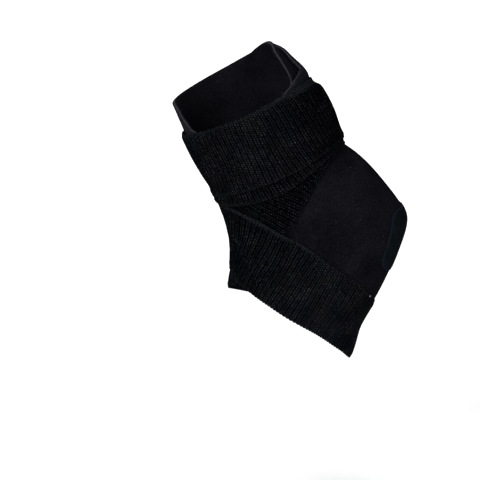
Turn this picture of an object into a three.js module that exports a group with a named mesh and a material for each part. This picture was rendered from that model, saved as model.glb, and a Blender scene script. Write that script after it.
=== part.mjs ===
// Ankle brace: a neoprene heel sleeve, whose back is closed by a flap inside it, with one long ribbed
// elastic strap wound round it in a figure of eight.
// Millimetres and degrees, +Z up, +X towards the heel, -Y the outer side.
// The origin is the middle of the sleeve's hollow, where it bends.

import * as THREE from 'three';

// Driving dimensions of the hollow form that the sleeve follows
const LEG_REACH = 131;
const LEG_LEAN = 28;
const FOOT_REACH = 106;
const FOOT_LEAN = 8;
const ANKLE_DEPTH = 90;
const ANKLE_WIDTH = 70;

// Driving dimensions of the pieces
const SLEEVE_THICKNESS = 3;
const FLAP_THICKNESS = 3;
const FLAP_START = -78;
const FLAP_BOTTOM = 0.335;
const STRAP_WIDTH = 50;
const STRAP_THICKNESS = 1.7;
const STRAP_START = -40;
const STRAP_END = 1380;
const HOOK_LENGTH = 42;
const HOOK_LIP = 9;
const HOOK_WIDTH = 38;
const HOOK_THICKNESS = 1.4;
const PATCH_WIDTH = 54;
const PATCH_HEIGHT = 46;
const PATCH_THICKNESS = 1;
const PATCH_STATION = 0.628;
const PATCH_FULLNESS = 3.5;

// Clearances
const SEAT_GAP = 0.3;
const LAP_GAP = 0.65;

// How far past the edge of a lower turn the turn above it stays raised, and how long it then takes to
// come down; and how many degrees before the strap's start a turn over it can begin to rise
const LAP_REACH = 6.5;
const LAP_RAMP = 12;
const LEAD_TURN = 48;

// Fineness of the facets, and how fast the sleeve's rows turn level away from its rims
const STRAP_STEP = 8;
const SLEEVE_ROWS = 25;
const SLEEVE_COLUMNS = 40;
const RIM_FADE = 3;
const FLAP_ROWS = 10;
const FLAP_COLUMNS = 14;
const STRAP_CELLS = 8;
const PATCH_CELLS = 10;
const HOOK_CELLS = 6;
const WALK_STEPS = 8;
const EDGE_STEP = 5;

// Sections of the form. `at` is the share of the way from the upper end to the lower end and `tilt` the
// section's slope. `ahead` and `behind` are shares of ANKLE_DEPTH, `lateral` and `medial` shares of
// ANKLE_WIDTH, `heel` fills the section out at the back, and `crest` narrows it at the front.
const FORM = table(
  ['at', 'tilt', 'ahead', 'behind', 'lateral', 'medial', 'heel', 'crest'],
  [
    [0.0, 26.7, 0.455, 0.385, 0.5, 0.52, 0.0, 0.05],
    [0.1, 21.0, 0.437, 0.482, 0.49, 0.505, 0.0, 0.06],
    [0.155, 21.0, 0.437, 0.544, 0.481, 0.492, 0.01, 0.07],
    [0.19, 21.0, 0.437, 0.54, 0.475, 0.485, 0.02, 0.08],
    [0.28, 22.4, 0.415, 0.572, 0.465, 0.475, 0.04, 0.1],
    [0.38, 24.1, 0.347, 0.59, 0.475, 0.485, 0.06, 0.12],
    [0.44, 21.2, 0.328, 0.719, 0.495, 0.505, 0.08, 0.12],
    [0.49, 17.3, 0.315, 0.815, 0.505, 0.51, 0.14, 0.12],
    [0.54, 12.6, 0.308, 0.908, 0.5, 0.5, 0.2, 0.12],
    [0.575, 10.0, 0.308, 0.964, 0.485, 0.485, 0.24, 0.12],
    [0.605, 9.0, 0.312, 0.966, 0.475, 0.475, 0.25, 0.12],
    [0.66, 4.5, 0.325, 0.878, 0.47, 0.47, 0.24, 0.14],
    [0.73, -3.4, 0.363, 0.744, 0.48, 0.48, 0.22, 0.16],
    [0.815, -11.2, 0.4, 0.596, 0.495, 0.495, 0.2, 0.18],
    [0.875, -14.4, 0.42, 0.554, 0.51, 0.505, 0.2, 0.18],
    [1.0, -16.5, 0.458, 0.48, 0.54, 0.53, 0.2, 0.18],
  ],
);

// The sleeve's rims, round the form from the back (0) by the outer side (90) and the front (180).
const LEG_RIM = table(
  ['angle', 'station'],
  [
    [0, 0.098],
    [4, 0.104],
    [10, 0.146],
    [16, 0.142],
    [35, 0.155],
    [50, 0.172],
    [75, 0.21],
    [120, 0.22],
    [146, 0.2],
    [155, 0.185],
    [162, 0.155],
    [168, 0.125],
    [174, 0.106],
    [180, 0.102],
    [270, 0.078],
    [330, 0.058],
    [350, 0.08],
    [360, 0.098],
  ],
);
const FOOT_RIM = table(
  ['angle', 'station'],
  [
    [0, 0.895],
    [45, 0.85],
    [95, 0.79],
    [125, 0.76],
    [155, 0.725],
    [180, 0.77],
    [225, 0.79],
    [270, 0.81],
    [315, 0.855],
    [360, 0.895],
  ],
);

// The flap inside the sleeve, from FLAP_START on the inner side round the back: its top edge by the share
// of its width, and its free edge on the outer side, which ends at FLAP_BOTTOM.
const FLAP_TOP = table(
  ['across', 'station'],
  [
    [0.0, 0.085],
    [0.3, 0.06],
    [0.6, 0.05],
    [0.85, 0.054],
    [1.0, 0.068],
  ],
);
const FLAP_FREE = table(
  ['station', 'angle'],
  [
    [0.06, 12],
    [0.105, 22],
    [0.14, 31],
    [0.185, 43],
    [0.25, 52],
    [0.34, 56],
  ],
);

// The middle line of the strap. `turn` goes on counting round the form from one wrap to the next, `station`
// is the place along the form, and `width` the share of STRAP_WIDTH that the strap takes there, less where
// it is drawn in and more where it lies slack.
const ROUTE = table(
  ['turn', 'station', 'width'],
  [
    [-40, 0.303, 0.74],
    [0, 0.3, 0.71],
    [30, 0.309, 0.86],
    [60, 0.33, 0.97],
    [90, 0.384, 1.0],
    [120, 0.45, 1.0],
    [150, 0.53, 1.0],
    [180, 0.616, 1.0],
    [225, 0.695, 0.98],
    [270, 0.757, 0.95],
    [315, 0.806, 0.92],
    [360, 0.836, 0.89],
    [390, 0.81, 0.88],
    [420, 0.773, 0.92],
    [450, 0.73, 0.96],
    [480, 0.667, 1.02],
    [510, 0.592, 1.03],
    [540, 0.54, 1.0],
    [585, 0.47, 1.0],
    [630, 0.405, 1.0],
    [675, 0.35, 0.94],
    [720, 0.315, 0.81],
    [750, 0.31, 0.87],
    [780, 0.315, 0.95],
    [810, 0.33, 1.0],
    [840, 0.331, 0.98],
    [870, 0.318, 0.96],
    [900, 0.303, 0.95],
    [990, 0.284, 1.0],
    [1080, 0.282, 1.0],
    [1110, 0.281, 1.02],
    [1140, 0.286, 1.02],
    [1170, 0.292, 0.99],
    [1215, 0.289, 0.96],
    [1260, 0.285, 0.96],
    [1350, 0.29, 1.0],
    [1400, 0.29, 1.0],
  ],
);

// Tables

function table(columns, rows) {
  return Object.fromEntries(columns.map((name, k) => [name, rows.map((row) => row[k])]));
}

function rowBefore(places, at) {
  let k = 0;
  while (k < places.length - 2 && places[k + 1] <= at) k += 1;
  return k;
}

// A smooth curve through a column's values.
function smooth(places, values, at) {
  const k = rowBefore(places, at);
  const span = places[k + 1] - places[k];
  const s = (at - places[k]) / span;
  const slope = (i) => {
    const before = Math.max(i - 1, 0);
    const after = Math.min(i + 1, places.length - 1);
    return (values[after] - values[before]) / (places[after] - places[before]);
  };
  const rise = 3 * s ** 2 - 2 * s ** 3;
  const leave = s ** 3 - 2 * s ** 2 + s;
  const arrive = s ** 3 - s ** 2;
  return (
    values[k] * (1 - rise) + values[k + 1] * rise + span * (leave * slope(k) + arrive * slope(k + 1))
  );
}

// Straight lines from one row to the next.
function straight(places, values, at) {
  const k = rowBefore(places, at);
  return THREE.MathUtils.lerp(
    values[k],
    values[k + 1],
    (at - places[k]) / (places[k + 1] - places[k]),
  );
}

// The form

const radians = THREE.MathUtils.degToRad;
const LEG_END = new THREE.Vector3(-Math.sin(radians(LEG_LEAN)), 0, Math.cos(radians(LEG_LEAN)));
LEG_END.multiplyScalar(LEG_REACH);
const FOOT_END = new THREE.Vector3(-Math.sin(radians(FOOT_LEAN)), 0, -Math.cos(radians(FOOT_LEAN)));
FOOT_END.multiplyScalar(FOOT_REACH);

// A point on the form: its angle round the section from the back, and its station from the
// upper end to the lower end.
function formPoint(angle, station) {
  const read = (column) => smooth(FORM.at, FORM[column], station);
  const [c, s] = [Math.cos(radians(angle)), Math.sin(radians(angle))];
  const ahead = read('ahead');
  const behind = read('behind');
  const along = (ANKLE_DEPTH * (behind - ahead + (behind + ahead) * c)) / 2;
  const fullness = 1 + read('heel') * Math.max(c, 0) ** 2 - read('crest') * Math.max(-c, 0) ** 2;
  const lateral = read('lateral');
  const medial = read('medial');
  const across = (ANKLE_WIDTH * fullness * (s * (lateral + medial) + s * s * (lateral - medial))) / 2;
  const tilt = radians(read('tilt'));
  return LEG_END.clone()
    .multiplyScalar((1 - station) ** 2)
    .addScaledVector(FOOT_END, station ** 2)
    .add(new THREE.Vector3(along * Math.cos(tilt), -across, along * Math.sin(tilt)));
}

const ANGLE_PROBE = 0.5;
const STATION_PROBE = 0.002;

// How the surface runs at a point: millimetres for each degree and for each whole station.
function surfaceRuns(angle, station) {
  const round = formPoint(angle + ANGLE_PROBE, station)
    .sub(formPoint(angle - ANGLE_PROBE, station))
    .divideScalar(2 * ANGLE_PROBE);
  const down = formPoint(angle, station + STATION_PROBE)
    .sub(formPoint(angle, station - STATION_PROBE))
    .divideScalar(2 * STATION_PROBE);
  return { round, down };
}

function formNormal(angle, station) {
  const { round, down } = surfaceRuns(angle, station);
  return round.cross(down).normalize();
}

function raised([angle, station], height) {
  return formPoint(angle, station).addScaledVector(formNormal(angle, station), height);
}

// Walks over the form from a point. `heading` gives the direction of each step from the surface's normal.
function walk([angle, station], heading, distance) {
  for (let k = 0; k < WALK_STEPS; k += 1) {
    const { round, down } = surfaceRuns(angle, station);
    const step = heading(round.clone().cross(down).normalize());
    step.multiplyScalar(distance / WALK_STEPS);
    const [rr, dd, rd] = [round.dot(round), down.dot(down), round.dot(down)];
    const [sr, sd] = [step.dot(round), step.dot(down)];
    const size = rr * dd - rd * rd;
    angle += (sr * dd - sd * rd) / size;
    station += (sd * rr - sr * rd) / size;
  }
  return [angle, station];
}

// A closed solid between two grids of points. It wraps round on itself or has four edges, and each of
// its four-sided faces is split along the shorter diagonal.
function slab(rows, columns, wraps, outer, inner) {
  const across = wraps ? columns : columns + 1;
  const grid = (pointAt) =>
    Array.from({ length: (rows + 1) * across }, (_, n) => pointAt(Math.floor(n / across), n % across));
  const points = [...grid(outer), ...grid(inner)];
  const layer = (rows + 1) * across;
  const faces = [];
  const quad = (a, b, c, d) => {
    const [one, other] = [points[a].distanceTo(points[c]), points[b].distanceTo(points[d])];
    faces.push(...(one <= other ? [a, b, c, a, c, d] : [a, b, d, b, c, d]));
  };
  const at = (side, i, j) => side * layer + i * across + (j % across);
  for (let i = 0; i < rows; i += 1) {
    for (let j = 0; j < columns; j += 1) {
      quad(at(0, i, j), at(0, i, j + 1), at(0, i + 1, j + 1), at(0, i + 1, j));
      quad(at(1, i, j), at(1, i + 1, j), at(1, i + 1, j + 1), at(1, i, j + 1));
    }
  }
  for (let j = 0; j < columns; j += 1) {
    quad(at(0, 0, j), at(1, 0, j), at(1, 0, j + 1), at(0, 0, j + 1));
    quad(at(0, rows, j), at(0, rows, j + 1), at(1, rows, j + 1), at(1, rows, j));
  }
  for (let i = 0; i < rows && !wraps; i += 1) {
    quad(at(0, i, 0), at(0, i + 1, 0), at(1, i + 1, 0), at(1, i, 0));
    quad(at(0, i, columns), at(1, i, columns), at(1, i + 1, columns), at(0, i + 1, columns));
  }
  const geometry = new THREE.BufferGeometry().setFromPoints(points);
  geometry.setIndex(faces);
  geometry.computeVertexNormals();
  return geometry;
}

// The sleeve: one wall from the upper rim to the lower rim. Away from the rims its rows run level.
function heelSleeve() {
  const mean = (values) => values.reduce((sum, value) => sum + value) / values.length;
  const [legLevel, footLevel] = [mean(LEG_RIM.station), mean(FOOT_RIM.station)];
  const place = (i, j) => {
    const angle = (j * 360) / SLEEVE_COLUMNS;
    const share = i / SLEEVE_ROWS;
    const aboveLevel = straight(LEG_RIM.angle, LEG_RIM.station, angle) - legLevel;
    const belowLevel = straight(FOOT_RIM.angle, FOOT_RIM.station, angle) - footLevel;
    const level = THREE.MathUtils.lerp(legLevel, footLevel, share);
    const [fromLeg, fromFoot] = [(1 - share) ** RIM_FADE, share ** RIM_FADE];
    return [angle, level + aboveLevel * fromLeg + belowLevel * fromFoot];
  };
  return slab(
    SLEEVE_ROWS,
    SLEEVE_COLUMNS,
    true,
    (i, j) => raised(place(i, j), SLEEVE_THICKNESS),
    (i, j) => raised(place(i, j), 0),
  );
}

// The flap: it laps the back, against the inside of the sleeve.
function innerFlap() {
  const place = (i, j) => {
    const across = j / FLAP_COLUMNS;
    const top = smooth(FLAP_TOP.across, FLAP_TOP.station, across);
    const station = THREE.MathUtils.lerp(top, FLAP_BOTTOM, i / FLAP_ROWS);
    const free = smooth(FLAP_FREE.station, FLAP_FREE.angle, station);
    return [THREE.MathUtils.lerp(FLAP_START, free, across), station];
  };
  return slab(
    FLAP_ROWS,
    FLAP_COLUMNS,
    false,
    (i, j) => raised(place(i, j), -LAP_GAP),
    (i, j) => raised(place(i, j), -LAP_GAP - FLAP_THICKNESS),
  );
}

// The strap's middle line, its direction, and the places beside it

function routeAt(turn, column) {
  return smooth(ROUTE.turn, ROUTE[column], turn);
}

function besideRoute(turn, distance) {
  const [before, after] = [turn - EDGE_STEP / 2, turn + EDGE_STEP / 2];
  const direction = formPoint(after, routeAt(after, 'station'))
    .sub(formPoint(before, routeAt(before, 'station')))
    .normalize();
  const sideways = (normal) => normal.cross(direction).normalize();
  return walk([turn, routeAt(turn, 'station')], sideways, distance);
}

function halfWidth(turn) {
  return (STRAP_WIDTH * routeAt(turn, 'width')) / 2;
}

// Both edges of the strap as station by angle, which goes on counting from turn to turn.
function strapEdge(side) {
  const edge = { angle: [], station: [] };
  for (let turn = STRAP_START; turn <= STRAP_END; turn += EDGE_STEP) {
    const [angle, station] = besideRoute(turn, side * halfWidth(turn));
    edge.angle.push(angle);
    edge.station.push(station);
  }
  return edge;
}

const UPPER_EDGE = strapEdge(-1);
const LOWER_EDGE = strapEdge(1);

// How far inside the turn that passes below a place lies, in millimetres; negative beside it.
function insideTurn(angle, station, round, down) {
  const slope = (routeAt(angle + 1, 'station') - routeAt(angle - 1, 'station')) / 2;
  const slant = Math.hypot(1, (slope * down) / round);
  const upper = straight(UPPER_EDGE.angle, UPPER_EDGE.station, angle);
  const lower = straight(LOWER_EDGE.angle, LOWER_EDGE.station, angle);
  const fromEdge = (Math.min(station - upper, lower - station) * down) / slant;
  return Math.min(fromEdge, (angle - STRAP_START) * round);
}

// How many turns lie under a place on the strap.
function turnsUnder([angle, station]) {
  const runs = surfaceRuns(angle, station);
  let count = 0;
  for (let under = angle - 360; under > STRAP_START - LEAD_TURN; under -= 360) {
    const inside = insideTurn(under, station, runs.round.length(), runs.down.length());
    count += THREE.MathUtils.smoothstep(inside, -LAP_REACH - LAP_RAMP, -LAP_REACH);
  }
  return count;
}

function strapSeat(place) {
  return SLEEVE_THICKNESS + LAP_GAP + turnsUnder(place) * (STRAP_THICKNESS + LAP_GAP);
}

// Degrees of turn that a length takes near the strap's end.
const END_DEGREE = surfaceRuns(STRAP_END, routeAt(STRAP_END, 'station')).round.length();
const HOOK_END = STRAP_END + HOOK_LIP / END_DEGREE;
const HOOK_START = HOOK_END - HOOK_LENGTH / END_DEGREE;
const HOOK_LEAD = LAP_REACH / END_DEGREE;

function overHook(turn) {
  const rise = THREE.MathUtils.smoothstep(turn, HOOK_START - 2 * HOOK_LEAD, HOOK_START - HOOK_LEAD);
  return rise * (HOOK_THICKNESS + LAP_GAP);
}

function elasticStrap() {
  const steps = Math.round((STRAP_END - STRAP_START) / STRAP_STEP);
  const turnAt = (j) => THREE.MathUtils.lerp(STRAP_START, STRAP_END, j / steps);
  const place = (i, j) =>
    besideRoute(turnAt(j), halfWidth(turnAt(j)) * ((2 * i) / STRAP_CELLS - 1));
  const seat = (i, j) => strapSeat(place(i, j)) + overHook(turnAt(j));
  return slab(
    STRAP_CELLS,
    steps,
    false,
    (i, j) => raised(place(i, j), seat(i, j) + STRAP_THICKNESS),
    (i, j) => raised(place(i, j), seat(i, j)),
  );
}

// The hook tab: under the strap's end, with a lip that stands out past it.
function hookTab() {
  const place = (i, j) => {
    const turn = THREE.MathUtils.lerp(HOOK_START, HOOK_END, j / HOOK_CELLS);
    return besideRoute(turn, HOOK_WIDTH * (i / HOOK_CELLS - 0.5));
  };
  return slab(
    HOOK_CELLS,
    HOOK_CELLS,
    false,
    (i, j) => raised(place(i, j), strapSeat(place(i, j)) + HOOK_THICKNESS),
    (i, j) => raised(place(i, j), strapSeat(place(i, j))),
  );
}

// The heel patch: a square grid drawn in to a rounded rectangle.
function heelPatch() {
  const roundIn = (a, b) => a * Math.sqrt(1 - (b * b) / PATCH_FULLNESS);
  const place = (i, j) => {
    const up = (2 * i) / PATCH_CELLS - 1;
    const side = (2 * j) / PATCH_CELLS - 1;
    const down = surfaceRuns(0, PATCH_STATION).down.length();
    const station = PATCH_STATION + (roundIn(up, side) * PATCH_HEIGHT) / 2 / down;
    const level = (normal) => normal.cross(new THREE.Vector3(0, 0, 1)).normalize();
    return walk([0, station], level, (roundIn(side, up) * PATCH_WIDTH) / 2);
  };
  return slab(
    PATCH_CELLS,
    PATCH_CELLS,
    false,
    (i, j) => raised(place(i, j), SLEEVE_THICKNESS + SEAT_GAP + PATCH_THICKNESS),
    (i, j) => raised(place(i, j), SLEEVE_THICKNESS + SEAT_GAP),
  );
}

function piece(name, geometry, color, roughness) {
  const material = new THREE.MeshStandardMaterial({ color, roughness, metalness: 0 });
  material.name = name;
  const mesh = new THREE.Mesh(geometry, material);
  mesh.name = name;
  return mesh;
}

const brace = new THREE.Group();
brace.name = 'ankle_brace';
brace.add(piece('heel_sleeve', heelSleeve(), 0x17171b, 0.8));
brace.add(piece('inner_flap', innerFlap(), 0x17171b, 0.8));
brace.add(piece('elastic_strap', elasticStrap(), 0x0e0e10, 0.9));
brace.add(piece('hook_tab', hookTab(), 0x101012, 0.6));
brace.add(piece('heel_patch', heelPatch(), 0x0f1920, 0.5));

export default brace;
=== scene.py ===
"""Ankle brace: a neoprene heel sleeve with a long ribbed elastic strap wound round it in a figure of eight.

Metres, +Z up, +X towards the heel, -Y the outer side, the origin in the middle of the hollow, where it bends.
"""

import math

import bpy
import numpy as np
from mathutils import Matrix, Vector


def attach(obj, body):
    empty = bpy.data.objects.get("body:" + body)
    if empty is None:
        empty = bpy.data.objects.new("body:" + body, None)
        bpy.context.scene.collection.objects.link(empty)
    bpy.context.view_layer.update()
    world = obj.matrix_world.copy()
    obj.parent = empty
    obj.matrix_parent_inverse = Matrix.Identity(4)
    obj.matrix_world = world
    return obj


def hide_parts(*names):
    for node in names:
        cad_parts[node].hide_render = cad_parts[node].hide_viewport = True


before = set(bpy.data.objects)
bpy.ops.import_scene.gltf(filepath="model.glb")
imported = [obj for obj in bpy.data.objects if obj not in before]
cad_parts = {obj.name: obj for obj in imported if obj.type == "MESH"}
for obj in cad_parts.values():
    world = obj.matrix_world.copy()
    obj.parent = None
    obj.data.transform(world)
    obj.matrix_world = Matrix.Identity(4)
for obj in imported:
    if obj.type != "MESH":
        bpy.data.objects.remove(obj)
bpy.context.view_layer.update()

MM = 0.001
TURN = 2 * math.pi

# The form that the sleeve follows, as in the part
LEG_REACH = 131 * MM
LEG_LEAN = math.radians(28)
FOOT_REACH = 106 * MM
FOOT_LEAN = math.radians(8)
ANKLE_DEPTH = 90 * MM
ANKLE_WIDTH = 70 * MM

FORM_COLUMNS = ("at", "tilt", "ahead", "behind", "lateral", "medial", "heel", "crest")
FORM = np.array([
    (0.000, 26.7, 0.455, 0.385, 0.500, 0.520, 0.00, 0.05),
    (0.100, 21.0, 0.437, 0.482, 0.490, 0.505, 0.00, 0.06),
    (0.155, 21.0, 0.437, 0.544, 0.481, 0.492, 0.01, 0.07),
    (0.190, 21.0, 0.437, 0.540, 0.475, 0.485, 0.02, 0.08),
    (0.280, 22.4, 0.415, 0.572, 0.465, 0.475, 0.04, 0.10),
    (0.380, 24.1, 0.347, 0.590, 0.475, 0.485, 0.06, 0.12),
    (0.440, 21.2, 0.328, 0.719, 0.495, 0.505, 0.08, 0.12),
    (0.490, 17.3, 0.315, 0.815, 0.505, 0.510, 0.14, 0.12),
    (0.540, 12.6, 0.308, 0.908, 0.500, 0.500, 0.20, 0.12),
    (0.575, 10.0, 0.308, 0.964, 0.485, 0.485, 0.24, 0.12),
    (0.605, 9.0, 0.312, 0.966, 0.475, 0.475, 0.25, 0.12),
    (0.660, 4.5, 0.325, 0.878, 0.470, 0.470, 0.24, 0.14),
    (0.730, -3.4, 0.363, 0.744, 0.480, 0.480, 0.22, 0.16),
    (0.815, -11.2, 0.400, 0.596, 0.495, 0.495, 0.20, 0.18),
    (0.875, -14.4, 0.420, 0.554, 0.510, 0.505, 0.20, 0.18),
    (1.000, -16.5, 0.458, 0.480, 0.540, 0.530, 0.20, 0.18),
])

# The sleeve's rims: angle round the form from the back by the outer side, station along it
LEG_RIM = np.array([
    (0, 0.098), (4, 0.104), (10, 0.146), (16, 0.142), (35, 0.155), (50, 0.172), (75, 0.210), (120, 0.220),
    (146, 0.200), (155, 0.185), (162, 0.155), (168, 0.125), (174, 0.106), (180, 0.102),
    (270, 0.078), (330, 0.058), (350, 0.080), (360, 0.098),
])
FOOT_RIM = np.array([
    (0, 0.895), (45, 0.850), (95, 0.790), (125, 0.760), (155, 0.725),
    (180, 0.770), (225, 0.790), (270, 0.810), (315, 0.855), (360, 0.895),
])

# The inner flap, which laps the back inside the sleeve. Its top edge: share of its width, and station. Its
# free edge on the outer side: station, and angle.
FLAP_TOP = np.array([(0.0, 0.085), (0.3, 0.060), (0.6, 0.050), (0.85, 0.054), (1.0, 0.068)])
FLAP_FREE = np.array([(0.06, 12), (0.105, 22), (0.14, 31), (0.185, 43), (0.25, 52), (0.34, 56)])
FLAP_START = -78
FLAP_BOTTOM = 0.335
FLAP_THICKNESS = 3.0 * MM
FLAP_SKIVE = 0.16

# The strap's middle line: its angle, which goes on counting from turn to turn, its station, and the share of
# its width that the stretch leaves
ROUTE = np.array([
    (-40, 0.303, 0.74), (0, 0.300, 0.71), (30, 0.309, 0.86), (60, 0.330, 0.97), (90, 0.384, 1.00),
    (120, 0.450, 1.00), (150, 0.530, 1.00), (180, 0.616, 1.00), (225, 0.695, 0.98), (270, 0.757, 0.95),
    (315, 0.806, 0.92), (360, 0.836, 0.89), (390, 0.810, 0.88), (420, 0.773, 0.92), (450, 0.730, 0.96),
    (480, 0.667, 1.02), (510, 0.592, 1.03), (540, 0.540, 1.00), (585, 0.470, 1.00), (630, 0.405, 1.00),
    (675, 0.350, 0.94), (720, 0.315, 0.81), (750, 0.310, 0.87), (780, 0.315, 0.95), (810, 0.330, 1.00),
    (840, 0.331, 0.98), (870, 0.318, 0.96), (900, 0.303, 0.95), (990, 0.284, 1.00), (1080, 0.282, 1.00),
    (1110, 0.281, 1.02), (1140, 0.286, 1.02), (1170, 0.292, 0.99), (1215, 0.289, 0.96), (1260, 0.285, 0.96),
    (1350, 0.290, 1.00), (1400, 0.290, 1.00),
])

# The pieces, as in the part
SLEEVE_THICKNESS = 3.0 * MM
STRAP_WIDTH = 50 * MM
STRAP_THICKNESS = 1.7 * MM
STRAP_START = -40
STRAP_END = 1380
HOOK_LENGTH = 42 * MM
HOOK_LIP = 9 * MM
HOOK_WIDTH = 38 * MM
HOOK_THICKNESS = 1.4 * MM
HOOK_CORNERS = 9
PATCH_WIDTH = 54 * MM
PATCH_HEIGHT = 46 * MM
PATCH_THICKNESS = 1.0 * MM
PATCH_CORNERS = 4
PATCH_STATION = 0.628

# Clearances. The strap's turns lie closer here than in the part.
SEAT_GAP = 0.3 * MM
LAP_GAP = 0.25 * MM

# The knit of the strap
RIB_PITCH = 3.8 * MM
RIB_RELIEF = 0.4 * MM
RIB_SLANT = 0.08
RIB_SWAY = 0.10
LOOP_PITCH = 1.65 * MM
STITCH_PITCH = 1.5 * MM
SELVEDGE = 1.6 * MM
SELVEDGE_BLUR = 0.8 * MM
SCALLOP_PITCH = RIB_PITCH * 2 / 3
SCALLOP_DEPTH = 0.3 * MM
EDGE_TAPER = 3.5 * MM
EDGE_THINNING = 0.7 * MM

# The pile along the strap: angle, how plain the upper edge and the lower edge are, and how flat the ribs are
# stretched. Over 1, an edge's plain part is as many times wider.
PILE = np.array([
    (-40, 0.2, 0.2, 0.3), (100, 0.2, 0.2, 0.0), (300, 0.3, 0.2, 0.5), (360, 0.3, 0.2, 0.7),
    (400, 0.4, 0.2, 0.6), (435, 0.5, 0.2, 0.6), (460, 0.8, 0.2, 0.5), (480, 0.9, 0.2, 0.3),
    (520, 1.0, 0.3, 0.0), (560, 0.6, 0.3, 0.2), (720, 0.3, 0.3, 0.1), (780, 0.3, 0.3, 0.2),
    (1060, 0.6, 0.3, 0.2), (1085, 2.2, 0.3, 0.0), (1115, 2.6, 0.3, 0.05), (1135, 1.5, 0.3, 0.25),
    (1160, 0.6, 0.3, 0.45), (1185, 0.3, 0.3, 0.45), (1215, 0.3, 0.3, 0.2), (1380, 0.6, 0.6, 0.3),
])

# A knot of thread near the strap's upper edge: its angle, how far it lies in from the edge, and its size
KNOT_TURN = 402
KNOT_INSET = 1.2 * MM
KNOT_SIZE = 1.5 * MM
KNOT_THICKNESS = 0.4 * MM
KNOT_SINK = 0.6 * MM

# How far past the edge of the turn below it the strap stays raised, and how far it then takes to come down
LAP_REACH = 1.6 * MM
LAP_RAMP = 7 * MM

# How many steps a walk over the form takes, and how many waves make a ripple
WALK_STEPS = 8
RIPPLE_WAVES = 7


# The form

def smooth(table, at, column):
    """A smooth curve through a column of a table, against its first column."""
    x, y = table[:, 0], table[:, column]
    at = np.asarray(at, float)
    k = np.clip(np.searchsorted(x, at, side="right") - 1, 0, len(x) - 2)
    slopes = np.empty_like(y)
    slopes[1:-1] = (y[2:] - y[:-2]) / (x[2:] - x[:-2])
    slopes[0] = (y[1] - y[0]) / (x[1] - x[0])
    slopes[-1] = (y[-1] - y[-2]) / (x[-1] - x[-2])
    span = x[k + 1] - x[k]
    s = (at - x[k]) / span
    rise = 3 * s**2 - 2 * s**3
    leave, arrive = s**3 - 2 * s**2 + s, s**3 - s**2
    return y[k] * (1 - rise) + y[k + 1] * rise + span * (leave * slopes[k] + arrive * slopes[k + 1])


def form_point(angle, station):
    """Points on the form: angle round the section from the back, in degrees, and station along it."""
    angle, station = np.broadcast_arrays(np.asarray(angle, float), np.asarray(station, float))
    c, s = np.cos(np.radians(angle)), np.sin(np.radians(angle))
    tilt, ahead, behind, lateral, medial, heel, crest = (
        smooth(FORM, station, k) for k in range(1, len(FORM_COLUMNS))
    )
    tilt = np.radians(tilt)
    along = ANKLE_DEPTH * (behind - ahead + (behind + ahead) * c) / 2
    fullness = 1 + heel * np.maximum(c, 0) ** 2 - crest * np.maximum(-c, 0) ** 2
    across = ANKLE_WIDTH * fullness * (s * (lateral + medial) + s * s * (lateral - medial)) / 2
    leg, foot = (1 - station) ** 2 * LEG_REACH, station**2 * FOOT_REACH
    x = -leg * math.sin(LEG_LEAN) - foot * math.sin(FOOT_LEAN)
    z = leg * math.cos(LEG_LEAN) - foot * math.cos(FOOT_LEAN)
    return np.stack([x + along * np.cos(tilt), -across, z + along * np.sin(tilt)], axis=-1)


def unit(v):
    return v / np.linalg.norm(v, axis=-1, keepdims=True)


def surface_runs(angle, station):
    """How the surface runs at a point: metres for each degree and for each whole station."""
    turn, down = 0.5, 0.002
    round_ = form_point(angle + turn, station) - form_point(angle - turn, station)
    along = form_point(angle, station + down) - form_point(angle, station - down)
    return round_ / (2 * turn), along / (2 * down)


def raised(angle, station, height):
    """Points over the form, each at its own height above it."""
    normal = unit(np.cross(*surface_runs(angle, station)))
    return form_point(angle, station) + normal * np.asarray(height)[..., None]


def walk(angle, station, heading, distance):
    """Walks over the form. `heading` gives each step's direction from the surface's normal."""
    for _ in range(WALK_STEPS):
        round_, down = surface_runs(angle, station)
        step = heading(unit(np.cross(round_, down))) * (distance / WALK_STEPS)[..., None]
        rr, dd, rd = (round_**2).sum(-1), (down**2).sum(-1), (round_ * down).sum(-1)
        sr, sd = (step * round_).sum(-1), (step * down).sum(-1)
        size = rr * dd - rd * rd
        angle = angle + (sr * dd - sd * rd) / size
        station = station + (sd * rr - sr * rd) / size
    return angle, station


def ease(value, low, high):
    """Rises smoothly from 0 at `low` to 1 at `high`."""
    s = np.clip((value - low) / (high - low), 0, 1)
    return s * s * (3 - 2 * s)


def ripple(points, pitch, seed):
    """Soft unevenness of about +-1, the same for the same place, with waves about `pitch` long."""
    chance = np.random.default_rng(seed)
    total = np.zeros(points.shape[:-1])
    for _ in range(RIPPLE_WAVES):
        way = unit(chance.normal(size=3)) * (TURN / (pitch * chance.uniform(0.7, 1.5)))
        total += np.sin(points @ way + chance.uniform(0, TURN))
    return total / math.sqrt(RIPPLE_WAVES)


# Meshes

def make_piece(name, points, faces, material, marks):
    """A piece from points and four-sided faces, with a number at each point for each mark."""
    mesh = bpy.data.meshes.new(name)
    mesh.from_pydata(points.reshape(-1, 3).tolist(), [], faces.tolist())
    mesh.polygons.foreach_set("use_smooth", [True] * len(mesh.polygons))
    for mark, values in marks.items():
        layer = mesh.attributes.new(mark, "FLOAT", "POINT")
        layer.data.foreach_set("value", np.asarray(values, np.float32).ravel())
    mesh.materials.append(material)
    mesh.update()
    piece = bpy.data.objects.new(name, mesh)
    bpy.context.scene.collection.objects.link(piece)
    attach(piece, "root")
    return piece


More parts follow.
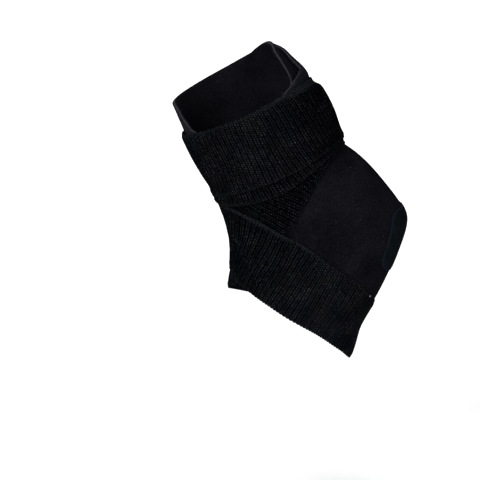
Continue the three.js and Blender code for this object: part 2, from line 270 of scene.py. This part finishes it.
def tube_faces(steps, ring, closed):
    """Faces of a ring of points swept through `steps` places, closed into a loop or capped at its ends."""
    i, j = np.meshgrid(np.arange(steps if closed else steps - 1), np.arange(ring), indexing="ij")
    here, there = i * ring, (i + 1) % steps * ring
    after = (j + 1) % ring
    faces = np.stack([here + j, here + after, there + after, there + j], axis=-1).reshape(-1, 4)
    if closed:
        return faces
    half = ring // 2
    k = np.arange(half - 1)
    first = np.stack([k, ring - 1 - k, ring - 2 - k, k + 1], axis=-1)
    last = (steps - 1) * ring + first[:, ::-1]
    return np.concatenate([faces, first, last])


# Materials

class Link:
    """One output of a node, which takes part in sums and products as a number does."""

    def __init__(self, finish, socket):
        self.finish, self.socket = finish, socket

    def _math(self, operation, *values):
        return self.finish.node("ShaderNodeMath", {"operation": operation}, dict(enumerate(values)))

    def __add__(self, other):
        return self._math("ADD", self, other)

    def __radd__(self, other):
        return self._math("ADD", other, self)

    def __sub__(self, other):
        return self._math("SUBTRACT", self, other)

    def __rsub__(self, other):
        return self._math("SUBTRACT", other, self)

    def __mul__(self, other):
        return self._math("MULTIPLY", self, other)

    def __rmul__(self, other):
        return self._math("MULTIPLY", other, self)

    def __truediv__(self, other):
        return self._math("DIVIDE", self, other)

    def __pow__(self, other):
        return self._math("POWER", self, other)

    def sine(self):
        return self._math("SINE", self)

    def floor(self):
        return self._math("FLOOR", self)

    def rise(self, low, high):
        """From 0 at `low` to 1 at `high`, smoothly."""
        sockets = {"Value": self, "From Min": low, "From Max": high}
        return self.finish.node("ShaderNodeMapRange", {"interpolation_type": "SMOOTHSTEP"}, sockets)

    def between(self, dark, light):
        """A colour between two others, by this share."""
        sockets = {"Factor": self, "A": dark, "B": light}
        return self.finish.node("ShaderNodeMix", {"data_type": "RGBA"}, sockets, "Result")


class Finish:
    """A material, its nodes and its shader."""

    def __init__(self, name, **uniform):
        self.material = bpy.data.materials.new(name)
        self.material.use_nodes = True
        self.tree = self.material.node_tree
        self.shader = self.tree.nodes["Principled BSDF"]
        for socket, value in uniform.items():
            self.shader.inputs[socket.replace("_", " ")].default_value = value

    def node(self, kind, settings=None, sockets=None, output=0):
        """Adds a node: its settings, then the values or links of its sockets. Gives one of its outputs."""
        made = self.tree.nodes.new(kind)
        for name, value in (settings or {}).items():
            setattr(made, name, value)
        for name, value in (sockets or {}).items():
            self._feed(self._socket(made.inputs, name), value)
        return Link(self, self._socket(made.outputs, output))

    @staticmethod
    def _socket(sockets, name):
        if isinstance(name, int):
            return sockets[name]
        return next(s for s in sockets if s.name == name and s.enabled)

    def _feed(self, socket, value):
        if isinstance(value, Link):
            self.tree.links.new(value.socket, socket)
        else:
            socket.default_value = value

    def mark(self, name):
        """The number that the mesh carries under this name."""
        settings = {"attribute_type": "GEOMETRY", "attribute_name": name}
        return self.node("ShaderNodeAttribute", settings, None, "Fac")

    def place(self):
        """The place on the object, in metres."""
        return self.node("ShaderNodeTexCoord", None, None, "Object")

    def vector(self, x, y, z=0.0):
        return self.node("ShaderNodeCombineXYZ", None, {"X": x, "Y": y, "Z": z})

    def noise(self, where, size, detail=2.0, roughness=0.5):
        """Noise with grains about `size` metres wide, from 0 to 1."""
        sockets = {"Vector": where, "Scale": 1 / size, "Detail": detail, "Roughness": roughness}
        return self.node("ShaderNodeTexNoise", None, sockets, "Fac")

    def cells(self, where, size):
        """The distance from the nearest of scattered points about `size` apart, 0 to about 1."""
        return self.node("ShaderNodeTexVoronoi", None, {"Vector": where, "Scale": 1 / size}, "Distance")

    def bump(self, height, depth):
        """A relief of up to `depth` metres."""
        sockets = {"Height": height, "Distance": depth, "Strength": 1.0}
        return self.node("ShaderNodeBump", None, sockets, "Normal")

    def wear(self, **links):
        """Links what varies to the shader's sockets."""
        for socket, value in links.items():
            self._feed(self.shader.inputs[socket.replace("_", " ")], value)
        return self.material


NEOPRENE_DARK = (0.0006, 0.0007, 0.0010, 1.0)
NEOPRENE_LIGHT = (0.0106, 0.0108, 0.0142, 1.0)
# Painted light: the lighter jersey colour near the sleeve's top rim.
NEOPRENE_RIM_LIT = (0.0125, 0.0128, 0.0162, 1.0)
LINT = (0.040, 0.040, 0.046, 1.0)
FOAM_DARK = (0.010, 0.010, 0.012, 1.0)
FOAM_LIGHT = (0.046, 0.047, 0.052, 1.0)
# Shaded and lit colours of the pile; the tone between them paints light and shade as well as the yarn's own
# unevenness.
KNIT_SHADED = (0.0001, 0.0002, 0.0004, 1.0)
KNIT_LIT = (0.0310, 0.0325, 0.0355, 1.0)
KNIT_BLUE = (0.0225, 0.0255, 0.0370, 1.0)
# Painted glint: bright spots on the loops' tops.
KNIT_GLINT = (0.110, 0.113, 0.118, 1.0)
SELVEDGE_DARK = (0.0013, 0.0016, 0.0021, 1.0)
SELVEDGE_LIGHT = (0.0230, 0.0245, 0.0290, 1.0)
PATCH_DARK = (0.0040, 0.0056, 0.0072, 1.0)
PATCH_LIGHT = (0.0058, 0.0076, 0.0095, 1.0)
# Painted highlight: the lighter, bluer colour along the heel patch's edge.
PATCH_RIM_HIGHLIGHT = (0.0062, 0.0090, 0.0140, 1.0)
HOOK_DARK = (0.0020, 0.0020, 0.0024, 1.0)
HOOK_LIGHT = (0.0100, 0.0100, 0.0110, 1.0)
THREAD_DARK = (0.045, 0.045, 0.047, 1.0)
THREAD_LIGHT = (0.110, 0.110, 0.114, 1.0)
FLOOR_COLOUR = (0.90, 0.90, 0.90, 1.0)


def neoprene():
    """Smooth jersey over foam rubber, with painted light making the outer face lighter near the top rim, and
    the grey foam bare where it is cut.
    """
    f = Finish("neoprene", Specular_IOR_Level=0.0)
    where = f.place()
    cut = f.mark("cut")
    painted_rim_light = f.mark("painted_rim_light")
    broad = f.noise(where, 24 * MM, 3.0)
    grain = f.noise(where, 0.8 * MM, 2.0, 0.65)
    lint = f.cells(where, 8 * MM).rise(0.06, 0.03)
    tone = broad.rise(0.25, 0.75) * 0.35 + grain.rise(0.30, 0.72) * 0.65
    jersey = tone.between(NEOPRENE_DARK, NEOPRENE_LIGHT)
    # Painted light: the outer face is made lighter near the sleeve's top rim, as if the collar caught more
    # light.
    jersey = (painted_rim_light * grain.rise(0.25, 0.65)).between(jersey, NEOPRENE_RIM_LIT)
    face = lint.between(jersey, LINT)
    pores = f.noise(where, 0.6 * MM, 3.0, 0.65)
    foam = pores.rise(0.32, 0.66).between(FOAM_DARK, FOAM_LIGHT)
    relief = f.bump(grain * (1 - cut) * 1.5 + pores * cut * 2.0, 0.09 * MM)
    return f.wear(
        Base_Color=cut.between(face, foam),
        Roughness=0.62 + grain * 0.2 + cut * 0.12,
        Normal=relief,
    )


def ribbed_elastic():
    """Loop-pile elastic: ribs across the strap, each of two lines of small loops, and plain woven edges."""
    f = Finish("ribbed_elastic", Specular_IOR_Level=0.0)
    along = f.mark("along")
    across = f.mark("across")
    edge = f.mark("selvedge")
    flat = f.mark("flat")
    where = f.place()
    rib = along / RIB_PITCH
    crown = 0.5 - 0.5 * (rib * TURN + TURN / 4).sine()
    # Painted shade: the colour darkens in the grooves between ribs, less where the ribs are stretched flat.
    floor = 0.12 + flat * 0.60
    painted_groove_shade = floor + crown.rise(0.02, 0.50) * (1 - floor)
    sway = f.noise(f.vector(along, across), 2.4 * MM, 2.0) - 0.5
    line = 0.5 - 0.5 * (rib * (2 * TURN) + TURN / 4 + sway * 1.6).sine()
    place = across / LOOP_PITCH + (rib * 2).floor() * 0.5 + sway * 0.9
    loop = (line * (0.5 + 0.5 * (place * TURN).sine())) ** 1.3
    fibre = f.noise(where, 1.1 * MM, 2.0, 0.6)
    patchy = f.noise(where, 14 * MM, 2.0).rise(0.30, 0.75)
    tint = f.noise(where, 16 * MM, 2.0).rise(0.40, 0.70)
    # Painted glints: small bright spots on the loops' tops, on the ribs' crowns only.
    painted_glint = f.noise(where, 0.95 * MM, 1.0).rise(0.60, 0.74) * loop * painted_groove_shade * patchy
    hairs = fibre.rise(0.34, 0.66)
    hairs = hairs + (1 - hairs) * flat * 0.5
    # Painted light and shade: the loops' tops lighter, the gaps between loops near black; the fibre and
    # patchy noise is the yarn's own uneven tone.
    tone = (0.08 + flat * 0.12 + loop * 0.85) * painted_groove_shade * hairs * (0.6 + patchy * 0.4) * (0.86 + flat * 0.3)
    pile = tone.between(KNIT_SHADED, tint.between(KNIT_LIT, KNIT_BLUE))
    body = painted_glint.between(pile, KNIT_GLINT)
    stitch = TURN / STITCH_PITCH
    weave = (across * stitch).sine() * (along * stitch).sine() * 0.5 + 0.5
    band = (weave * fibre.rise(0.2, 0.7)).between(SELVEDGE_DARK, SELVEDGE_LIGHT)
    pile_height = crown * (1 - flat) * 0.3 + loop * 0.4 + fibre * 0.2
    edge_height = weave * 0.25 + fibre * 0.15
    height = (1 - edge) * pile_height + edge * edge_height
    return f.wear(
        Base_Color=edge.between(body, band),
        Roughness=0.80 + fibre * 0.2,
        Normal=f.bump(height, 0.4 * MM),
    )


def hook_tape():
    """Stiff tape covered with rows of fine hooks."""
    f = Finish("hook_tape", Specular_IOR_Level=0.02)
    along = f.mark("along")
    across = f.mark("across")
    hooks = (along * (TURN / (1.5 * MM))).sine() * (across * (TURN / (1.1 * MM))).sine()
    stand = (hooks * 0.5 + 0.5).rise(0.35, 0.9)
    fuzz = f.noise(f.place(), 0.6 * MM, 2.0)
    return f.wear(
        Base_Color=(stand * fuzz.rise(0.3, 0.7)).between(HOOK_DARK, HOOK_LIGHT),
        Roughness=0.45 + fuzz * 0.25,
        Normal=f.bump(stand + fuzz * 0.2, 0.4 * MM),
    )


def patch_rubber():
    """Moulded rubber with a faint bloom, a finely grained face and a painted bluish highlight along its edge.
    """
    f = Finish("patch_rubber", Specular_IOR_Level=0.0)
    where = f.place()
    bloom = f.noise(where, 9 * MM, 3.0)
    grain = f.noise(where, 0.5 * MM, 2.0, 0.6)
    rim = f.mark("rim")
    face = bloom.rise(0.3, 0.75).between(PATCH_DARK, PATCH_LIGHT)
    return f.wear(
        # Painted highlight: the edge is lighter and bluer all round.
        Base_Color=rim.between(face, PATCH_RIM_HIGHLIGHT),
        Roughness=0.52 + bloom * 0.14 + grain * 0.08,
        Normal=f.bump(grain, 0.05 * MM),
    )


def stitch_thread():
    f = Finish("stitch_thread", Roughness=0.6)
    twist = f.noise(f.place(), 0.3 * MM, 1.0)
    return f.wear(Base_Color=twist.rise(0.3, 0.7).between(THREAD_DARK, THREAD_LIGHT))


def studio_floor():
    f = Finish("studio_floor", Roughness=0.7, Specular_IOR_Level=0.2)
    f.shader.inputs["Base Color"].default_value = FLOOR_COLOUR
    return f.material


# The sleeve

SLEEVE_COLUMNS = 240
SLEEVE_ROWS = 84
RIM_BEVEL = 0.45 * MM
# How far below the top rim the painted rim light reaches.
RIM_LIGHT_REACH = 9 * MM
CUT_DEPTHS = ((0.92, 0.0), (0.72, 0.0), (0.58, 1.0), (0.42, 1.0), (0.28, 0.0), (0.08, 0.0))


def rim_station(rim, angle):
    return np.interp(np.mod(angle, 360), rim[:, 0], rim[:, 1])


def wall_profile():
    """Once round the wall's section: share of the way down, metres back from the rim, depth and cut."""
    rows = np.linspace(0, 1, SLEEVE_ROWS)
    share, back, depth, cut = [], [], [], []

    def add(at, pulled, deep, is_cut):
        share.append(at)
        back.append(pulled)
        depth.append(deep)
        cut.append(is_cut)

    for at in rows:
        pulled = RIM_BEVEL * (1 if at == 0 else -1 if at == 1 else 0)
        add(at, pulled, 1.0, 0.0)
    for deep, is_cut in CUT_DEPTHS:
        add(1.0, 0.0, deep, is_cut)
    for at in rows[::-1]:
        pulled = RIM_BEVEL * (1 if at == 0 else -1 if at == 1 else 0)
        add(at, pulled, 0.0, 0.0)
    for deep, is_cut in reversed(CUT_DEPTHS):
        add(0.0, 0.0, deep, is_cut)
    return np.array(share), np.array(back), np.array(depth), np.array(cut)


def heel_sleeve(material):
    share, back, depth, cut = wall_profile()
    angle = np.arange(SLEEVE_COLUMNS)[:, None] * (360 / SLEEVE_COLUMNS)
    top, low = rim_station(LEG_RIM, angle), rim_station(FOOT_RIM, angle)
    station = top + (low - top) * share
    run = np.linalg.norm(surface_runs(angle, station)[1], axis=-1)
    station = station + back / run
    soft = ripple(form_point(angle, station), 34 * MM, 3) * 0.28 * MM
    height = depth * SLEEVE_THICKNESS + soft * ease(depth, 0.0, 1.0)
    points = raised(angle, station, height)
    # Painted light on the outer face: full at the top rim, fading out a few millimetres below it.
    painted_rim_light = ease((top - station) * run, -RIM_LIGHT_REACH, -0.3 * RIM_LIGHT_REACH) * (depth > 0.9)
    piece = make_piece(
        "heel_sleeve_neoprene",
        points,
        tube_faces(SLEEVE_COLUMNS, len(share), True)[:, ::-1],
        material,
        {"cut": np.broadcast_to(cut, station.shape), "painted_rim_light": painted_rim_light},
    )
    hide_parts("heel_sleeve")


FLAP_COLUMNS = 60
FLAP_ROWS = 56


def edge_ring(rows, columns):
    """The places of a grid's outer points, once round."""
    top = np.arange(columns - 1)
    right = np.arange(rows - 1) * columns + columns - 1
    bottom = (rows - 1) * columns + np.arange(columns - 1, 0, -1)
    left = np.arange(rows - 1, 0, -1) * columns
    return np.concatenate([top, right, bottom, left])


def grid_faces(rows, columns):
    i, j = (k.ravel() for k in np.meshgrid(np.arange(rows - 1), np.arange(columns - 1), indexing="ij"))
    corner = i * columns + j
    return np.stack([corner, corner + 1, corner + columns + 1, corner + columns], axis=-1)


def panel(angle, station, inside, outside):
    """A sheet between two heights over a patch of the form, with its cut edges: points, faces, cut mark."""
    rows, columns = angle.shape
    ring = edge_ring(rows, columns)
    rim_angle, rim_at = angle.ravel()[ring], station.ravel()[ring]
    rim_inside, rim_outside = inside.ravel()[ring], outside.ravel()[ring]
    parts = [raised(angle, station, outside).reshape(-1, 3), raised(angle, station, inside).reshape(-1, 3)]
    for depth, _ in CUT_DEPTHS:
        parts.append(raised(rim_angle, rim_at, rim_inside + depth * (rim_outside - rim_inside)))
    face = grid_faces(rows, columns)
    size, count = rows * columns, len(ring)
    loops = [ring] + [2 * size + k * count + np.arange(count) for k in range(len(CUT_DEPTHS))] + [ring + size]
    faces = [face[:, ::-1], face + size]
    for upper, lower in zip(loops, loops[1:]):
        faces.append(np.stack([upper, np.roll(upper, -1), np.roll(lower, -1), lower], axis=-1))
    cut = np.concatenate([np.zeros(2 * size)] + [np.full(count, is_cut) for _, is_cut in CUT_DEPTHS])
    return np.concatenate(parts), np.concatenate(faces), cut


def lengths(points):
    """The length of a grid of points along its middle row and its middle column."""
    row, column = points[points.shape[0] // 2], points[:, points.shape[1] // 2]
    return tuple(float(np.linalg.norm(np.diff(line, axis=0), axis=1).sum()) for line in (row, column))


def inner_flap(material):
    u, v = np.meshgrid(np.linspace(0, 1, FLAP_COLUMNS), np.linspace(0, 1, FLAP_ROWS))
    top = smooth(FLAP_TOP, u, 1)
    station = top + (FLAP_BOTTOM - top) * v
    angle = FLAP_START + (smooth(FLAP_FREE, station, 1) - FLAP_START) * u
    soft = ripple(form_point(angle, station), 30 * MM, 8) * 0.12 * MM
    outside = -SEAT_GAP - 0.12 * MM + soft * 0.8
    inside = outside - FLAP_THICKNESS * (0.06 + 0.94 * ease(u, 0.0, FLAP_SKIVE))
    points, faces, cut = panel(angle, station, inside, outside)
    marks = {"cut": cut, "painted_rim_light": np.zeros(len(cut))}
    piece = make_piece("inner_flap_neoprene", points, faces, material, marks)
    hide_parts("inner_flap")
    flat = lengths(raised(angle, station, outside))


# The strap

STRAP_STEP = RIB_PITCH / 6
OUTER_CELLS = 17
INNER_CELLS = 5


def beside_route(turn, distance):
    """The places at a distance beside the strap's middle line."""
    probe = 2.5
    ahead = form_point(turn + probe, smooth(ROUTE, turn + probe, 1))
    behind = form_point(turn - probe, smooth(ROUTE, turn - probe, 1))
    along = unit(ahead - behind)
    return walk(turn, smooth(ROUTE, turn, 1), lambda normal: unit(np.cross(normal, along)), distance)


def half_width(turn):
    return STRAP_WIDTH * smooth(ROUTE, turn, 2) / 2


EDGE_TURNS = np.arange(STRAP_START, STRAP_END + 1, 2.0)
UPPER_EDGE = beside_route(EDGE_TURNS, -half_width(EDGE_TURNS))
LOWER_EDGE = beside_route(EDGE_TURNS, half_width(EDGE_TURNS))


def turns_under(angle, station):
    """How many turns of the strap lie under each place on it."""
    round_, down = (np.linalg.norm(run, axis=-1) for run in surface_runs(angle, station))
    count = np.zeros(np.shape(angle))
    for laps in (1, 2, 3):
        under = angle - 360 * laps
        slope = (smooth(ROUTE, under + 1, 1) - smooth(ROUTE, under - 1, 1)) / 2
        slant = np.hypot(1, slope * down / round_)
        upper = np.interp(under, UPPER_EDGE[0], UPPER_EDGE[1])
        lower = np.interp(under, LOWER_EDGE[0], LOWER_EDGE[1])
        inside = np.minimum(station - upper, lower - station) * down / slant
        inside = np.minimum(inside, (under - STRAP_START) * round_)
        count += ease(inside, -LAP_REACH - LAP_RAMP, -LAP_REACH)
    return count


def strap_seat(angle, station):
    return SLEEVE_THICKNESS + LAP_GAP + turns_under(angle, station) * (STRAP_THICKNESS + LAP_GAP)


END_DEGREE = float(np.linalg.norm(surface_runs(STRAP_END, smooth(ROUTE, STRAP_END, 1))[0]))
HOOK_END = STRAP_END + HOOK_LIP / END_DEGREE
HOOK_START = HOOK_END - HOOK_LENGTH / END_DEGREE


def over_hook(turn):
    lead = 4 * MM / END_DEGREE
    return ease(turn, HOOK_START - 2 * lead, HOOK_START - 0.5 * lead) * (HOOK_THICKNESS + LAP_GAP)


def strap_profile():
    """Once round the strap's section: place across in half widths, and share of the thickness."""
    outer = np.sin(np.linspace(-math.pi / 2, math.pi / 2, OUTER_CELLS + 1) * 0.90) / math.sin(0.45 * math.pi)
    lip = 1 - 0.8 * MM / STRAP_WIDTH
    inner = np.linspace(lip, -lip, INNER_CELLS + 1)
    across = np.concatenate([outer * lip, [1.0, 1.0], inner, [-1.0, -1.0]])
    depth = np.concatenate([np.ones(len(outer)), [0.75, 0.25], np.zeros(len(inner)), [0.25, 0.75]])
    return across, depth


def even_turns():
    """Turns at even steps along the strap, and the length of strap up to each."""
    fine = np.linspace(STRAP_START, STRAP_END, 6001)
    line = raised(fine, smooth(ROUTE, fine, 1), np.full(fine.shape, SLEEVE_THICKNESS + 2 * STRAP_THICKNESS))
    length = np.concatenate([[0], np.cumsum(np.linalg.norm(np.diff(line, axis=0), axis=1))])
    steps = int(length[-1] / STRAP_STEP)
    run = np.linspace(0, length[-1], steps + 1)
    return np.interp(run, length, fine), run


def elastic_strap(material):
    across, depth = strap_profile()
    turn, run = even_turns()
    half = half_width(turn)[:, None]
    scallop = SCALLOP_DEPTH * np.sin(run * (TURN / SCALLOP_PITCH))[:, None]
    offset = across * (half + scallop * (np.abs(across) > 0.98))
    angle, station = beside_route(np.broadcast_to(turn[:, None], offset.shape), offset)
    seat = strap_seat(angle, station) + over_hook(turn)[:, None]
    margin = half - np.abs(offset)
    plain = np.where(offset < 0, smooth(PILE, turn, 1)[:, None], smooth(PILE, turn, 2)[:, None])
    selvedge = SELVEDGE * np.maximum(plain, 1)
    in_selvedge = ease(-margin, -selvedge - SELVEDGE_BLUR, -selvedge + SELVEDGE_BLUR) * np.clip(plain, 0, 1)
    lean = RIB_SLANT * offset / RIB_PITCH + RIB_SWAY * ripple(form_point(angle, station), 30 * MM, 11)
    crown = 0.5 - 0.5 * np.cos(TURN * (run[:, None] / RIB_PITCH + lean))
    thinning = ease(-margin, -EDGE_TAPER, 0.0) * EDGE_THINNING
    flat = np.clip(smooth(PILE, turn, 3), 0, 1)[:, None]
    relief = (crown**0.8 - 1.0) * RIB_RELIEF * (1 - in_selvedge * 0.5) * (1 - flat * 0.6)
    wave = ripple(form_point(angle, station), 22 * MM, 5) * 0.16 * MM
    thick = STRAP_THICKNESS - thinning + relief * (depth > 0.9)
    points = raised(angle, station, seat + depth * thick + wave)
    piece = make_piece(
        "elastic_strap_ribbed",
        points,
        tube_faces(len(turn), len(across), False),
        material,
        {
            "along": run[:, None] + lean * RIB_PITCH,
            "across": offset,
            "selvedge": in_selvedge,
            "flat": np.broadcast_to(flat, offset.shape),
        },
    )
    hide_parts("elastic_strap")


# The hook tab and the heel patch

def pad(name, material, cells, place, seat, thickness, outline):
    """A thin pad on the form with rounded edges. `outline` draws a square grid in to the pad's shape."""
    lanes = np.linspace(-1, 1, cells + 1)
    u, v = np.meshgrid(lanes, lanes, indexing="ij")
    rim = np.maximum(abs(u), abs(v))
    top_u, top_v = outline(u, v)
    angle, station = place(top_u, top_v)
    base = seat(angle, station)
    rounding = np.sqrt(1 - ease(rim, 0.86, 1.0) ** 2 * 0.75)
    top = raised(angle, station, base + thickness * (0.5 + 0.5 * rounding))
    bottom = raised(angle, station, base)
    size = rim.size
    square = grid_faces(cells + 1, cells + 1)
    ring = edge_ring(cells + 1, cells + 1)
    after = np.roll(ring, -1)
    sides = np.stack([ring, ring + size, after + size, after], axis=-1)
    faces = np.concatenate([square, square[:, ::-1] + size, sides])
    marks = {
        # The rim mark carries the heel patch's painted edge highlight.
        "rim": np.concatenate([ease(rim, 0.92, 0.99).ravel()] * 2),
        "along": np.concatenate([(top_v * HOOK_LENGTH / 2).ravel()] * 2),
        "across": np.concatenate([(top_u * HOOK_WIDTH / 2).ravel()] * 2),
    }
    points = np.concatenate([top.reshape(-1, 3), bottom.reshape(-1, 3)])
    return make_piece(name, points, faces, material, marks)


def rounded_square(corners):
    """Draws a square grid in to a circle for 2, and to an ever squarer outline for more."""
    def draw(u, v):
        reach = np.maximum(abs(u), abs(v))
        power = (abs(u) ** corners + abs(v) ** corners) ** (1 / corners)
        inward = reach / np.maximum(power, 1e-9)
        return u * inward, v * inward
    return draw


def hook_tab(material):
    middle, reach = (HOOK_START + HOOK_END) / 2, (HOOK_END - HOOK_START) / 2

    def place(u, v):
        return beside_route(middle + v * reach, u * HOOK_WIDTH / 2)

    outline = rounded_square(HOOK_CORNERS)
    piece = pad("hook_tab_tape", material, 40, place, strap_seat, HOOK_THICKNESS, outline)
    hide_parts("hook_tab")


def heel_patch(material):
    down = float(np.linalg.norm(surface_runs(0.0, PATCH_STATION)[1]))
    up = np.array([0.0, 0.0, 1.0])

    def place(u, v):
        station = PATCH_STATION + u * PATCH_HEIGHT / 2 / down
        return walk(np.zeros_like(u), station, lambda normal: unit(np.cross(normal, up)), v * PATCH_WIDTH / 2)

    def seat(angle, station):
        return np.full(np.shape(angle), SLEEVE_THICKNESS + SEAT_GAP)

    outline = rounded_square(PATCH_CORNERS)
    piece = pad("heel_patch_rubber", material, 48, place, seat, PATCH_THICKNESS, outline)
    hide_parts("heel_patch")


def thread_knot(material):
    inset = KNOT_INSET - half_width(KNOT_TURN)
    degree = float(np.linalg.norm(surface_runs(KNOT_TURN, smooth(ROUTE, KNOT_TURN, 1))[0]))

    def place(u, v):
        return beside_route(KNOT_TURN + v * KNOT_SIZE / 2 / degree, inset + u * KNOT_SIZE / 2)

    def seat(angle, station):
        return strap_seat(angle, station) + STRAP_THICKNESS - KNOT_SINK

    pad("thread_knot", material, 8, place, seat, KNOT_THICKNESS, rounded_square(2))


# The studio

VIEW_UP = math.radians(12)
VIEW_DISTANCE = 1.3
METRES_PER_PIXEL = 0.70 * MM
PICTURE = 480
AIM_RIGHT = -60 * METRES_PER_PIXEL
AIM_UP = -28 * METRES_PER_PIXEL
FLOOR_DROP = 0.19
SENSOR = 36.0
SKY_STRENGTH = 0.42


def studio():
    floor_mesh = bpy.data.meshes.new("floor")
    wide, near, far, height, bend = 6.0, -4.0, 3.0, 4.0, 1.2
    outline = [(near, 0.0), (far - bend, 0.0)]
    for a in np.linspace(0.2, 1.5, 8):
        outline.append((far - bend + bend * math.sin(a), bend - bend * math.cos(a)))
    outline.append((far, height))
    points = [(x, y, z - FLOOR_DROP) for y, z in outline for x in (-wide, wide)]
    faces = [(2 * k, 2 * k + 1, 2 * k + 3, 2 * k + 2) for k in range(len(outline) - 1)]
    floor_mesh.from_pydata(points, [], faces)
    floor_mesh.polygons.foreach_set("use_smooth", [True] * len(faces))
    floor_mesh.materials.append(studio_floor())
    floor = bpy.data.objects.new("floor", floor_mesh)
    bpy.context.scene.collection.objects.link(floor)

    world = bpy.data.worlds.new("studio")
    world.use_nodes = True
    world.node_tree.nodes["Background"].inputs["Color"].default_value = (1, 1, 1, 1)
    world.node_tree.nodes["Background"].inputs["Strength"].default_value = SKY_STRENGTH
    bpy.context.scene.world = world
    bpy.context.scene.view_settings.view_transform = "Standard"

    # Name, place, what it points at, size, power
    lamps = (
        ("key", (-1.3, -1.4, 1.1), (0, 0, 0), 0.8, 35),
        ("fill", (1.4, -1.3, 0.6), (0, 0, 0), 1.2, 3),
        ("top", (-0.3, 0.3, 1.8), (0, 0, 0), 1.2, 14),
        ("back", (0.2, 1.6, 1.2), (0, 2.0, -0.1), 1.6, 26),
    )
    for name, place, target, size, power in lamps:
        lamp = bpy.data.lights.new(name, "AREA")
        lamp.shape = "SQUARE"
        lamp.size = size
        lamp.energy = power
        lamp_object = bpy.data.objects.new(name, lamp)
        lamp_object.location = place
        aim = Vector(target) - Vector(place)
        lamp_object.rotation_euler = aim.to_track_quat("-Z", "Y").to_euler()
        bpy.context.scene.collection.objects.link(lamp_object)


def camera():
    """Looks along +Y from a little above, with METRES_PER_PIXEL to the pixel at the middle of the part."""
    view_up = Vector((0, math.sin(VIEW_UP), math.cos(VIEW_UP)))
    towards = Vector((0, math.cos(VIEW_UP), -math.sin(VIEW_UP)))
    target = Vector((AIM_RIGHT, 0, 0)) + view_up * AIM_UP
    data = bpy.data.cameras.new("camera")
    data.sensor_width = SENSOR
    data.lens = SENSOR * VIEW_DISTANCE / (PICTURE * METRES_PER_PIXEL)
    eye = bpy.data.objects.new("camera", data)
    eye.location = target - towards * VIEW_DISTANCE
    eye.rotation_euler = towards.to_track_quat("-Z", "Y").to_euler()
    bpy.context.scene.collection.objects.link(eye)
    bpy.context.scene.camera = eye


camera()
studio()
skin = neoprene()
heel_sleeve(skin)
inner_flap(skin)
elastic_strap(ribbed_elastic())
hook_tab(hook_tape())
heel_patch(patch_rubber())
thread_knot(stitch_thread())

bpy.context.view_layer.update()
